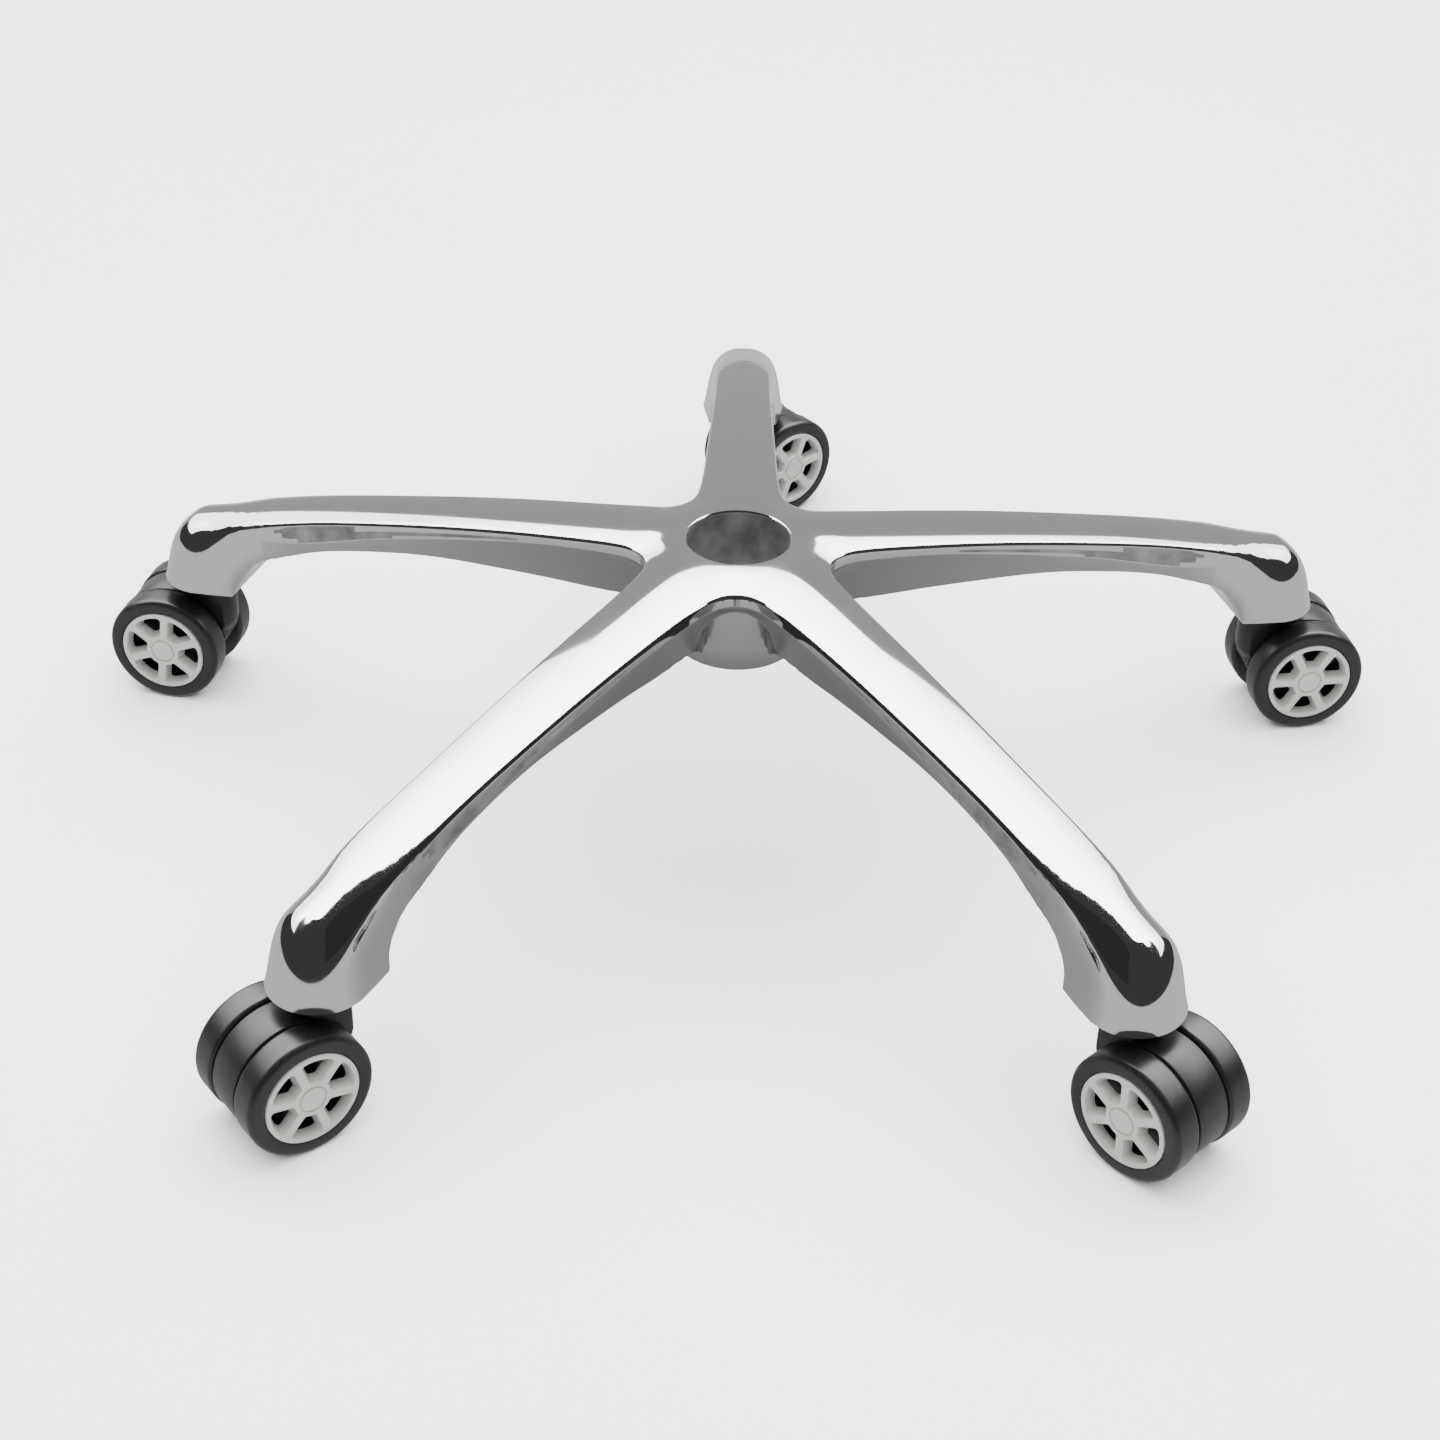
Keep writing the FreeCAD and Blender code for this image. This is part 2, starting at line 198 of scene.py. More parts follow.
# %% The walls and the arch
FOOT_BOTTOM = 68.3
FOOT_INNER = 269.7
UNDERSIDES_MEET_WITHIN = 75.0
UNDERSIDE_BLEND = 4.0
UNDERSIDE_HALVINGS = 30
WALLS = [
    (26.0, 44.0, 141.5, 12.0, 126.0, 6.0, 95.0),
    (33.0, 36.0, 141.5, 12.0, 126.0, 6.2, 97.0),
    (38.8, 28.2, 141.5, 12.2, 126.0, 6.6, 101.0),
    (43.5, 23.6, 141.2, 12.5, 126.0, 7.0, 105.0),
    (50.0, 21.2, 141.0, 12.8, 126.0, 7.3, 108.0),
    (64.0, 19.7, 140.0, 13.2, 125.5, 7.6, 108.5),
    (90.0, 18.5, 137.5, 12.4, 124.5, 6.6, 108.5),
    (125.0, 17.4, 132.0, 11.8, 122.0, 6.4, 108.5),
    (160.0, 16.5, 125.0, 11.4, 117.5, 6.6, 107.0),
    (195.0, 15.8, 116.5, 11.8, 111.0, 7.9, 103.0),
    (225.0, 15.7, 108.0, 12.4, 101.5, 11.0, 96.0),
    (245.0, 16.2, 105.0, 15.0, 94.0, 14.0, 84.0),
    (260.0, 16.6, 104.5, 17.2, 88.5, 16.8, 70.0),
    (274.0, 16.7, 102.5, 19.4, 87.5, 20.0, 66.0),
    (STEM_CIRCLE, 16.2, 97.5, 21.4, 85.5, 23.5, 66.0),
]
ARCH = [
    (20.0, 94.0),
    (28.0, 98.5),
    (36.0, 105.3),
    (45.0, 109.6),
    (58.0, 111.2),
    (75.0, 111.3),
    (105.0, 111.0),
    (135.0, 110.8),
    (165.0, 109.7),
    (195.0, 106.1),
    (225.0, 100.8),
    (245.0, 94.0),
    (256.0, 88.5),
    (263.0, 81.5),
    (FOOT_INNER, FOOT_BOTTOM),
]
wall_curves = [natural_curve([s[0] for s in WALLS], [s[i] for s in WALLS]) for i in range(1, 7)]
arch_curve = natural_curve([s[0] for s in ARCH], [s[1] for s in ARCH])


def arch_height(u):
    if u >= FOOT_INNER:
        return FOOT_BOTTOM
    return max(arch_curve(max(u, ARCH[0][0])), FOOT_BOTTOM)


def wall_values(u):
    return [curve(max(u, WALLS[0][0])) for curve in wall_curves]


def wall_width(u, z):
    w1, z1, w2, z2, w3, z3 = wall_values(u)
    first = w1 * (z - z2) * (z - z3) / ((z1 - z2) * (z1 - z3))
    second = w2 * (z - z1) * (z - z3) / ((z2 - z1) * (z2 - z3))
    third = w3 * (z - z1) * (z - z2) / ((z3 - z1) * (z3 - z2))
    return first + second + third


def underside(u, v):
    low = arch_height(u)
    if v <= wall_width(u, low):
        return low
    band = wall_values(u)[1]
    low, high = halve(low, band, lambda z: wall_width(u, z) < v, UNDERSIDE_HALVINGS)
    return (low + high) / 2


def web_underside(u, v):
    height = underside(u, v)
    if u < UNDERSIDES_MEET_WITHIN:
        height = soft_low(height, underside(*in_next_arm(u, v)), UNDERSIDE_BLEND)
    return height


print("keel half width at mid arm", round(wall_width(135, arch_height(135)), 2), "mm")

# %% [markdown]
# Seen from above, the edge of the casting runs from the rounded corner between two arms out to the
# foot. Half of one arm is a grid of rows: each row starts at the rim of the bore or on the ridge,
# runs over the crown, turns round the polished edge, comes down the wall, and ends under the arm.

# %% The outline from above
BORE_RIM = 25.8
UNDER_RIM = 27.0
STRAIGHT_FROM = 75.0
OUTLINE_HALVINGS = 40
TANGENT_STEP = 0.05
OUTLINE = [CORNER_POINT, (41.3, 25.4), (45.0, 23.0), (50.0, 21.3), (56.0, 20.4)]
OUTLINE += [(s[0], s[1]) for s in WALLS if s[0] > OUTLINE[-1][0]]
CORNER = Vector((math.cos(HALF_SECTOR), math.sin(HALF_SECTOR)))
before_corner = [in_next_arm(*OUTLINE[2]), in_next_arm(*OUTLINE[1])]
outline, outline_reach = curve_through(before_corner + OUTLINE)
corner_reach = outline_reach[2]


def reach_where(u):
    end = outline_reach[-1]
    return halve(corner_reach, end, lambda reach: outline(reach)[0] < u, OUTLINE_HALVINGS)[0]


def outline_at(reach):
    point = outline(reach)
    ahead = outline(reach + TANGENT_STEP) - outline(reach - TANGENT_STEP)
    normal = Vector((-ahead[1], ahead[0])).normalized()
    if normal[1] < 0:
        normal = -normal
    return point, normal


print("outline from", [round(v, 1) for v in outline(corner_reach)], "to the foot")

# %% Points of one row
CROWN_STEPS = 14
EDGE_STEPS = 7
BAND_SHARES = (0.35, 0.7, 0.93, 1.0)
WALL_SHARES = (0.03, 0.08, 0.15, 0.24, 0.34, 0.45, 0.56, 0.67, 0.78, 0.88, 0.95, 1.0)
BOTTOM_SHARES = (0.07, 0.16, 0.38, 0.44, 0.5, 0.6, 0.75, 0.88, 1.0)
EDGE_RADIUS = 2.2
EDGE_GROWTH = 1.2
EDGE_GROWS = (215.0, 280.0)
WEB_DROP = 0.3
BAND_LEAST = 0.4
print("steps of a row", CROWN_STEPS, EDGE_STEPS, len(BAND_SHARES), len(WALL_SHARES))

# %% Edge and crown of a row


def edge_radius(u):
    return EDGE_RADIUS + EDGE_GROWTH * ease(*EDGE_GROWS, u)


def top_and_edge(start, point, normal, u):
    radius = edge_radius(u)
    fall = 2 * ridge_fall(max(u, 0)) * max(abs(point[1]) - radius, 0)
    lean = math.atan(fall)
    inner = point - normal * radius * (1 - math.sin(lean))
    made = []
    for i in range(CROWN_STEPS + 1):
        p = mix(start, inner, i / CROWN_STEPS)
        made.append((p[0], p[1], top_height(p[0], p[1])))
    centre = made[-1][2] - radius * math.cos(lean)
    for i in range(1, EDGE_STEPS + 1):
        angle = mix(lean, math.pi / 2, i / EDGE_STEPS)
        p = point - normal * radius * (1 - math.sin(angle))
        made.append((p[0], p[1], centre + radius * math.cos(angle)))
    return made


def under_shares():
    u = STRAIGHT_FROM
    w_band, z_band = wall_values(u)[:2]
    low = arch_height(u)
    shares = []
    for share in WALL_SHARES:
        shares.append(1 - wall_width(u, mix(z_band, low, share)) / w_band)
    keel = shares[-1]
    for share in BOTTOM_SHARES:
        shares.append(mix(keel, 1.0, share))
    return shares


UNDER_SHARES = under_shares()


def hub_row(start, point, normal, end):
    row = top_and_edge(start, point, normal, point[0])
    z_edge = row[-1][2]
    z_band = wall_values(point[0])[1]
    for share in BAND_SHARES:
        row.append((point[0], point[1], mix(z_edge, z_band, share)))
    for share in UNDER_SHARES:
        p = mix(point, end, share)
        row.append((p[0], p[1], min(web_underside(p[0], p[1]), z_band - WEB_DROP * share)))
    return row


print("points in a row", CROWN_STEPS + 1 + EDGE_STEPS + len(BAND_SHARES) + len(UNDER_SHARES))

# %% The channel under an arm
CHANNEL = (78.0, 246.0)
CHANNEL_RUN_IN = 4.0
CHANNEL_RUN_OUT = 3.0
CHANNEL_WALL = 3.0
CHANNEL_ROOF = 5.5
LIP_ROUND = (0.4, 0.5)
ROOF_CORNER = 2.5


def channel_depth(u):
    start, end = CHANNEL
    return ease(start, start + CHANNEL_RUN_IN, u) - ease(end - CHANNEL_RUN_OUT, end, u)


def bottom_points(u):
    low = arch_height(u)
    keel = wall_width(u, low)
    flat = [(mix(keel, 0.0, share), low) for share in BOTTOM_SHARES]
    depth = channel_depth(u)
    if depth <= 0:
        return flat
    w_band, _, w_mid, z_mid = wall_values(u)[:4]
    roof = ridge_height(u) - CHANNEL_ROOF
    lip = keel - CHANNEL_WALL
    side = w_mid - CHANNEL_WALL
    top = w_band - CHANNEL_WALL
    deep = flat[:2] + [
        (lip + LIP_ROUND[0], low),
        (lip, low + LIP_ROUND[1]),
        (mix(lip, side, 0.5), mix(low, z_mid, 0.5)),
        (side, z_mid),
        (mix(side, top, 0.9), mix(z_mid, roof, 0.9)),
        (top - ROOF_CORNER, roof),
        (0.0, roof),
    ]
    return [(mix(a[0], b[0], depth), mix(a[1], b[1], depth)) for a, b in zip(flat, deep)]


def arm_row(u, point, normal):
    row = top_and_edge(Vector((u, 0)), point, normal, u)
    z_edge = row[-1][2]
    z_band = min(wall_values(u)[1], z_edge - BAND_LEAST)
    low = arch_height(u)
    for share in BAND_SHARES:
        z = mix(z_edge, z_band, share)
        row.append((u, mix(point[1], wall_width(u, z_band), share), z))
    for share in WALL_SHARES:
        z = mix(z_band, low, share)
        row.append((u, wall_width(u, z), z))
    for w, z in bottom_points(u):
        row.append((u, w, z))
    return row


print("channel depth share at mid arm", channel_depth(135))

# %% [markdown]
# The foot is a dome: its side profile turns through a quarter circle round the stem and becomes the
# slightly slimmer profile of the nose. On the last stretch of the arm the crisp edge melts into the
# same dome, row by row.

# %% The foot and its nose
SIDE_PROFILE = [
    (0.0, FOOT_TOP),
    (6.0, 104.8),
    (10.0, 103.7),
    (13.4, 101.9),
    (16.0, 99.4),
    (17.9, 96.3),
    (19.4, 92.8),
    (20.6, 89.0),
    (21.6, 84.5),
    (22.4, 79.0),
    (23.0, 73.0),
    (23.3, FOOT_BOTTOM),
]
NOSE_PROFILE = [
    (0.0, FOOT_TOP),
    (4.4, 103.7),
    (7.9, 101.1),
    (11.0, 97.9),
    (13.7, 94.4),
    (16.0, 90.7),
    (17.9, 87.0),
    (19.4, 83.4),
    (20.8, 79.2),
    (21.7, 75.4),
    (22.3, 71.6),
    (22.5, FOOT_BOTTOM),
]
EDGE_FROM = 3
BAND_FROM = 5
WALL_FROM = 6
DOME_FROM = 258.0


def foot_points(profile):
    curve, reach = curve_through(profile)
    spans = [
        (0.0, reach[EDGE_FROM], [i / CROWN_STEPS for i in range(CROWN_STEPS + 1)]),
        (reach[EDGE_FROM], reach[BAND_FROM], [i / EDGE_STEPS for i in range(1, EDGE_STEPS + 1)]),
        (reach[BAND_FROM], reach[WALL_FROM], BAND_SHARES),
        (reach[WALL_FROM], reach[-1], WALL_SHARES),
    ]
    made = []
    for low, high, shares in spans:
        for share in shares:
            made.append(tuple(curve(mix(low, high, share))))
    edge = made[-1]
    made += [(mix(edge[0], 0.0, share), edge[1]) for share in BOTTOM_SHARES]
    return made


side_points = foot_points(SIDE_PROFILE)
nose_points = foot_points(NOSE_PROFILE)


def foot_row(u, point, normal):
    row = arm_row(u, point, normal)
    share = ease(DOME_FROM, STEM_CIRCLE, u)
    low = arch_height(u)
    top = ridge_height(u)
    full = FOOT_TOP - FOOT_BOTTOM
    widen = wall_width(u, low) / SIDE_PROFILE[-1][0]
    made = []
    for (a, b, c), (w, z) in zip(row, side_points):
        height = low + (z - FOOT_BOTTOM) * (top - low) / full
        made.append((mix(a, u, share), mix(b, w * widen, share), mix(c, height, share)))
    return made


def nose_row(turn):
    share = math.sin(turn) ** 2
    made = []
    for (ws, zs), (wn, zn) in zip(side_points, nose_points):
        w = mix(ws, wn, share)
        made.append((STEM_CIRCLE + w * math.sin(turn), w * math.cos(turn), mix(zs, zn, share)))
    return made


print("foot profile has", len(side_points), "points")

# %% All rows of half an arm
HUB_TURNS = 18
HUB_SLIDES = 20
NOSE_STEPS = 22
TURN_END = 47.0
ARM_STEP = 3.0
FINE_FROM = 243.0
FINE_STEP = 1.25
FINE_END = STEM_CIRCLE - 0.5


def arm_places():
    coarse = np.arange(STRAIGHT_FROM + ARM_STEP, FINE_FROM, ARM_STEP)
    return [*coarse, *np.arange(FINE_FROM, FINE_END, FINE_STEP)]


def half_arm_rows():
    rows = []
    turn_reach = reach_where(TURN_END)
    for i in range(HUB_TURNS + 1):
        share = i / HUB_TURNS
        point, normal = outline_at(mix(corner_reach, turn_reach, share))
        if i == 0:
            normal = CORNER.copy()
            point = CORNER * point.dot(CORNER)
        bearing = HALF_SECTOR * (1 - share)
        ray = Vector((math.cos(bearing), math.sin(bearing)))
        rows.append(hub_row(ray * BORE_RIM, point, normal, ray * UNDER_RIM))
    for i in range(1, HUB_SLIDES + 1):
        share = i / HUB_SLIDES
        point, normal = outline_at(reach_where(mix(TURN_END, STRAIGHT_FROM, share)))
        start = Vector((mix(BORE_RIM, STRAIGHT_FROM, share), 0.0))
        end = Vector((mix(UNDER_RIM, STRAIGHT_FROM, share), 0.0))
        rows.append(hub_row(start, point, normal, end))
    for u in arm_places():
        point, normal = outline_at(reach_where(u))
        rows.append(foot_row(u, Vector((u, point[1])), Vector((0.0, 1.0))))
    for i in range(NOSE_STEPS + 1):
        rows.append(nose_row(math.pi / 2 * i / NOSE_STEPS))
    return rows


rows = half_arm_rows()
print(len(rows), "rows of", len(rows[0]), "points")

# %% [markdown]
# The bore is a slow taper that a gas lift column wedges into. A turned profile makes the bore, its
# chamfered mouth and the barrel around it. The same helper will turn the wheels later.

# %% Turned shapes


def turned_mesh(bm, profile, steps, closed=True):
    rings = []
    for i in range(steps):
        angle = 2 * math.pi * i / steps
        ring = [bm.verts.new((r * math.cos(angle), r * math.sin(angle), z)) for r, z in profile]
        rings.append(ring)
    count = len(profile)
    last = count if closed else count - 1
    for i in range(steps):
        a = rings[i]
        b = rings[(i + 1) % steps]
        for j in range(last):
            k = (j + 1) % count
            bm.faces.new((a[j], b[j], b[k], a[k]))


def add_rows(bm, grid, place):
    verts = [[bm.verts.new(place(p)) for p in row] for row in grid]
    for a, b in zip(verts, verts[1:]):
        for j in range(len(a) - 1):
            bm.faces.new((a[j], b[j], b[j + 1], a[j + 1]))


print("helpers for grids ready")

# %% [markdown]
# The grid of an arm turns into the dome of the foot with small kinks. Passes of smoothing take them
# out, more of them the further out the vertex lies. The foot's lower rim keeps its place.

# %% Fair feet
FOOT_PASSES = (
    (238.0, 6),
    (246.0, 8),
    (252.0, 10),
    (258.0, 12),
    (264.0, 14),
    (271.0, 14),
    (280.0, 14),
)
RIM_KEPT = 0.3


def fair_feet(bm):
    for start, times in FOOT_PASSES:
        soft = []
        for vert in bm.verts:
            reach = math.hypot(vert.co.x, vert.co.y) / MM
            if reach > start and vert.co.z / MM + HUB_HEIGHT > FOOT_BOTTOM + RIM_KEPT:
                soft.append(vert)
        for _ in range(times):
            bmesh.ops.smooth_vert(
                bm, verts=soft, factor=0.5, use_axis_x=True, use_axis_y=True, use_axis_z=True
            )


print(len(FOOT_PASSES), "ranges are smoothed")

# %% Finish a mesh and add it
MERGE_METRES = 0.00001
MERGE_MM = 0.001


def finish_mesh(bm, name, merge, sharp=48.0):
    bmesh.ops.remove_doubles(bm, verts=bm.verts, dist=merge)
    bmesh.ops.dissolve_degenerate(bm, edges=bm.edges, dist=merge / 4)
    bmesh.ops.recalc_face_normals(bm, faces=bm.faces)
    for face in bm.faces:
        face.smooth = True
    for edge in bm.edges:
        if len(edge.link_faces) == 2 and edge.calc_face_angle() > math.radians(sharp):
            edge.smooth = False
    mesh = bpy.data.meshes.new(name)
    bm.to_mesh(mesh)
    bm.free()
    return mesh


def add_piece(name, mesh, body, nodes):
    piece = bpy.data.objects.new(name, mesh)
    bpy.context.scene.collection.objects.link(piece)
    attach(piece, body)
    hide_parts(*nodes)
    return piece


print("helpers ready")

# %% Build the casting
BORE_MOUTH = 25.0
BORE_TAPER = math.tan(math.radians(1.438))
BARREL_RADIUS = 31.0
BARREL_BOTTOM = 94.0
BORE_SEAM = 98.0
BORE_HEIGHTS = (110.0, 125.0, 140.0, 148.0, 149.9)
MOUTH_ROUND = ((0.05, 150.25), (0.3, 150.6), (0.65, 150.9))
BARREL_STEPS = 120


def bore_radius(z):
    return BORE_MOUTH - (HUB_HEIGHT - z) * BORE_TAPER


def closing_rows():
    seam = bore_radius(BORE_SEAM)
    path = [(26.0, BORE_SEAM + 0.4), (seam + 0.2, BORE_SEAM), (seam, BORE_SEAM + 0.2)]
    path += [(bore_radius(z), z) for z in BORE_HEIGHTS]
    path += [(BORE_MOUTH + wider, z) for wider, z in MOUTH_ROUND]
    made = []
    for i in range(HUB_TURNS + 1):
        bearing = HALF_SECTOR * (1 - i / HUB_TURNS)
        ring = [(r * math.cos(bearing), r * math.sin(bearing), z) for r, z in path]
        made.append([rows[i][-1]] + ring + [rows[i][0]])
    return made


def barrel_profile():
    low = BARREL_BOTTOM
    barrel = [
        (bore_radius(low) + 0.5, low),
        (BARREL_RADIUS - 1.6, low),
        (BARREL_RADIUS - 0.9, low + 0.2),
        (BARREL_RADIUS - 0.25, low + 0.75),
        (BARREL_RADIUS, low + 1.6),
        (BARREL_RADIUS, 105.0),
        (BARREL_RADIUS, 122.0),
        (BARREL_RADIUS, 138.0),
        (26.5, 139.0),
        (24.8, BORE_SEAM + 1.2),
        (bore_radius(BORE_SEAM) + 0.3, BORE_SEAM + 0.6),
        (bore_radius(BORE_SEAM), BORE_SEAM + 0.3),
        (bore_radius(low), low + 0.5),
    ]
    return [(r * MM, (z - HUB_HEIGHT) * MM) for r, z in barrel]


def casting_mesh():
    bm = bmesh.new()
    closing = closing_rows()
    for arm, _ in CASTERS.values():
        turn = Matrix.Rotation(math.radians(arm), 3, "Z")
        for side in SIDES.values():

            def place(p, turn=turn, side=side):
                return turn @ Vector((p[0], p[1] * side, p[2] - HUB_HEIGHT)) * MM

            add_rows(bm, rows, place)
            add_rows(bm, closing, place)
    bmesh.ops.remove_doubles(bm, verts=bm.verts, dist=MERGE_METRES)
    fair_feet(bm)
    turned_mesh(bm, barrel_profile(), BARREL_STEPS)
    return finish_mesh(bm, "spider_polished", MERGE_METRES, sharp=30.0)


casting = casting_mesh()
spider = add_piece("spider_polished", casting, "base", ["spider_casting"])
print("casting", len(spider.data.polygons), "faces")

# %% [markdown]
# Polished metal is mostly what it reflects, so its own nodes stay quiet: a bright neutral base,
# very low roughness, and faint clouds in the roughness where the polishing wheel passed. The side
# walls and the barrel got less of the wheel and are satin. The bore and the channels got none, so
# they are duller and grainier.

# %% Material helpers


def linear(hex_colour):
    values = []
    for i in (0, 2, 4):
        channel = int(hex_colour[i : i + 2], 16) / 255
        values.append(channel / 12.92 if channel <= 0.04045 else ((channel + 0.055) / 1.055) ** 2.4)
    return (*values, 1.0)


def new_material(name):
    material = bpy.data.materials.new(name)
    material.use_nodes = True
    nodes = material.node_tree.nodes
    return material, nodes["Principled BSDF"]


def add_node(material, kind, inputs=None, **settings):
    node = material.node_tree.nodes.new(kind)
    for key, value in settings.items():
        setattr(node, key, value)
    for key, value in (inputs or {}).items():
        node.inputs[key].default_value = value
    return node


def link(material, source, target):
    material.node_tree.links.new(source, target)


def object_noise(material, period_mm, detail=3.0, roughness=0.5):
    place = add_node(material, "ShaderNodeTexCoord")
    values = {"Scale": 1000.0 / period_mm, "Detail": detail, "Roughness": roughness}
    noise = add_node(material, "ShaderNodeTexNoise", values)
    link(material, place.outputs["Object"], noise.inputs["Vector"])
    return noise.outputs["Fac"]


def spread(material, source, low, high, start=0.3, end=0.7):
    values = {"From Min": start, "From Max": end, "To Min": low, "To Max": high}
    node = add_node(material, "ShaderNodeMapRange", values)
    link(material, source, node.inputs["Value"])
    return node.outputs["Result"]


def blend_colours(material, source, dark, light):
    node = add_node(material, "ShaderNodeMix", data_type="RGBA")
    sockets = {socket.identifier: socket for socket in node.inputs}
    sockets["A_Color"].default_value = linear(dark)
    sockets["B_Color"].default_value = linear(light)
    link(material, source, sockets["Factor_Float"])
    results = {socket.identifier: socket for socket in node.outputs}
    return results["Result_Color"]


def bump(material, shader, source, depth_mm):
    node = add_node(material, "ShaderNodeBump", {"Strength": 1.0, "Distance": depth_mm * MM})
    link(material, source, node.inputs["Height"])
    link(material, node.outputs["Normal"], shader.inputs["Normal"])


print("material helpers ready")

# %% Metals


def bare_metal(name, colour, cloud_mm, detail, smooth, rough):
    material, shader = new_material(name)
    shader.inputs["Base Color"].default_value = linear(colour)
    shader.inputs["Metallic"].default_value = 1.0
    clouds = object_noise(material, cloud_mm, detail)
    link(material, spread(material, clouds, smooth, rough), shader.inputs["Roughness"])
    return material


def raw_aluminium():
    material, shader = new_material("raw cast aluminium")
    grain = object_noise(material, 1.6, 5.0, 0.65)
    tone = spread(material, object_noise(material, 14.0), 0.0, 1.0)
    colour = blend_colours(material, tone, "5C5D5E", "8A8B8C")
    link(material, colour, shader.inputs["Base Color"])
    shader.inputs["Metallic"].default_value = 0.6
    link(material, spread(material, grain, 0.34, 0.52), shader.inputs["Roughness"])
    bump(material, shader, grain, 0.12)
    return material


polished = bare_metal("polished aluminium", "C6C7C8", 45.0, 4.0, 0.045, 0.075)
raw_cast = raw_aluminium()
satin = bare_metal("satin aluminium", "BDBEBF", 18.0, 4.0, 0.2, 0.28)
steel = bare_metal("zinc plated steel", "B9BABB", 3.0, 3.0, 0.24, 0.38)
print("metals", [metal.name for metal in (polished, raw_cast, satin, steel)])

# %% Plastics


def satin_plastic(name, dark, light, smooth, rough, grain_mm, depth_mm):
    material, shader = new_material(name)
    tone = spread(material, object_noise(material, 22.0), 0.0, 1.0)
    link(material, blend_colours(material, tone, dark, light), shader.inputs["Base Color"])
    grain = object_noise(material, grain_mm, 4.0, 0.6)
    link(material, spread(material, grain, smooth, rough), shader.inputs["Roughness"])
    bump(material, shader, grain, depth_mm)
    return material


def silver_paint():
    material, shader = new_material("satin silver paint")
    flakes = object_noise(material, 0.25, 2.0, 0.7)
    colour = blend_colours(material, spread(material, flakes, 0.0, 1.0), "B4B3AF", "C9C8C4")
    link(material, colour, shader.inputs["Base Color"])
    shader.inputs["Metallic"].default_value = 0.55
    link(material, spread(material, flakes, 0.36, 0.46), shader.inputs["Roughness"])
    bump(material, shader, flakes, 0.01)
    return material


tread_black = satin_plastic("satin black polyurethane", "0F0F10", "151516", 0.30, 0.38, 0.7, 0.012)
nylon_black = satin_plastic("black moulded nylon", "101011", "171719", 0.33, 0.43, 0.9, 0.02)
silver = silver_paint()
print("plastics", tread_black.name, nylon_black.name, "and", silver.name)

# %% Paint the casting
RAW_FACE = 1
SATIN_FACE = 2
SATIN_END = 252.0
BAND_MARGIN = 0.05
BORE_REACH = 25.2
CHAMFER_DEPTH = 0.9
LIP_MARGIN = 0.1
WALL_MARGIN = 1.0
ROOF_MARGIN = 0.5


def arm_place(centre):
    best = (0.0, 0.0)
    for arm, _ in CASTERS.values():
        turn = math.radians(arm)
        along = centre.x * math.cos(turn) + centre.y * math.sin(turn)
        aside = centre.y * math.cos(turn) - centre.x * math.sin(turn)
        if along > best[0]:
            best = (along, abs(aside))
    return best


def is_satin(centre):
    u, v = arm_place(centre)
    return u < SATIN_END and centre.z + HUB_HEIGHT < wall_values(u)[1] - BAND_MARGIN


def is_raw(centre):
    reach = math.hypot(centre.x, centre.y)
    if reach < BORE_REACH and centre.z < -CHAMFER_DEPTH:
        return True
    u, v = arm_place(centre)
    if not CHANNEL[0] < u < CHANNEL[1]:
        return False
    height = centre.z + HUB_HEIGHT
    roof = ridge_height(u) - CHANNEL_ROOF
    inside = arch_height(u) + LIP_MARGIN < height < roof + ROOF_MARGIN
    return inside and v < wall_width(u, height) - WALL_MARGIN


for material in (polished, raw_cast, satin):
    spider.data.materials.append(material)
dull_count = 0
for face in spider.data.polygons:
    centre = face.center / MM
    if is_raw(centre):
        face.material_index = RAW_FACE
        dull_count += 1
    elif is_satin(centre):
        face.material_index = SATIN_FACE
        dull_count += 1
print("faces without a mirror polish", dull_count)

# %% [markdown]
# A wheel is a stack of turned pieces. Each is turned about Z with its outer face up, then laid on
# the axle by one matrix, so the two wheels of a caster are mirror images.

# %% Where a caster piece goes
TRAIL = 20.0
WHEEL_RADIUS = 30.0


def stem_matrix(name):
    arm, heading = CASTERS[name]
    turn = math.radians(arm)
    x = STEM_CIRCLE * math.cos(turn)
    y = STEM_CIRCLE * math.sin(turn)
    place = Matrix.Translation(Vector((x, y, -HUB_HEIGHT)) * MM)
    return place @ Matrix.Rotation(math.radians(heading), 4, "Z") @ Matrix.Scale(MM, 4)


def wheel_matrix(name, side, turn):
    axle = Matrix.Translation((TRAIL, 0.0, WHEEL_RADIUS))
    laid = Matrix.Rotation(math.radians(-90 * side), 4, "X")
    return stem_matrix(name) @ axle @ laid @ Matrix.Rotation(math.radians(turn), 4, "Z")


def placed_copy(mesh, name, matrix):
    copy = mesh.copy()
    copy.name = name
    copy.transform(matrix)
    return copy


def add_to_wheels(mesh, piece, node, turns):
    for name in CASTERS:
        for side_name, side in SIDES.items():
            label = name + "_" + side_name
            copy = placed_copy(mesh, piece + label, wheel_matrix(name, side, turns[name]))
            add_piece(piece + label, copy, "wheel_" + label, [node + label])


wheel_centre = wheel_matrix("front_left", SIDES["lh"], 0.0).translation
print("front left wheel centre", [round(v, 4) for v in wheel_centre])

# %% Tyre
RIM_RADIUS = 22.5
TYRE_INNER = 10.4
TYRE_OUTER = 25.0
TYRE_STEPS = 112


def arc_points(centre, radius, start, end, steps):
    made = []
    for i in range(steps + 1):
        angle = math.radians(mix(start, end, i / steps))
        made.append((centre[0] + radius * math.cos(angle), centre[1] + radius * math.sin(angle)))
    return made


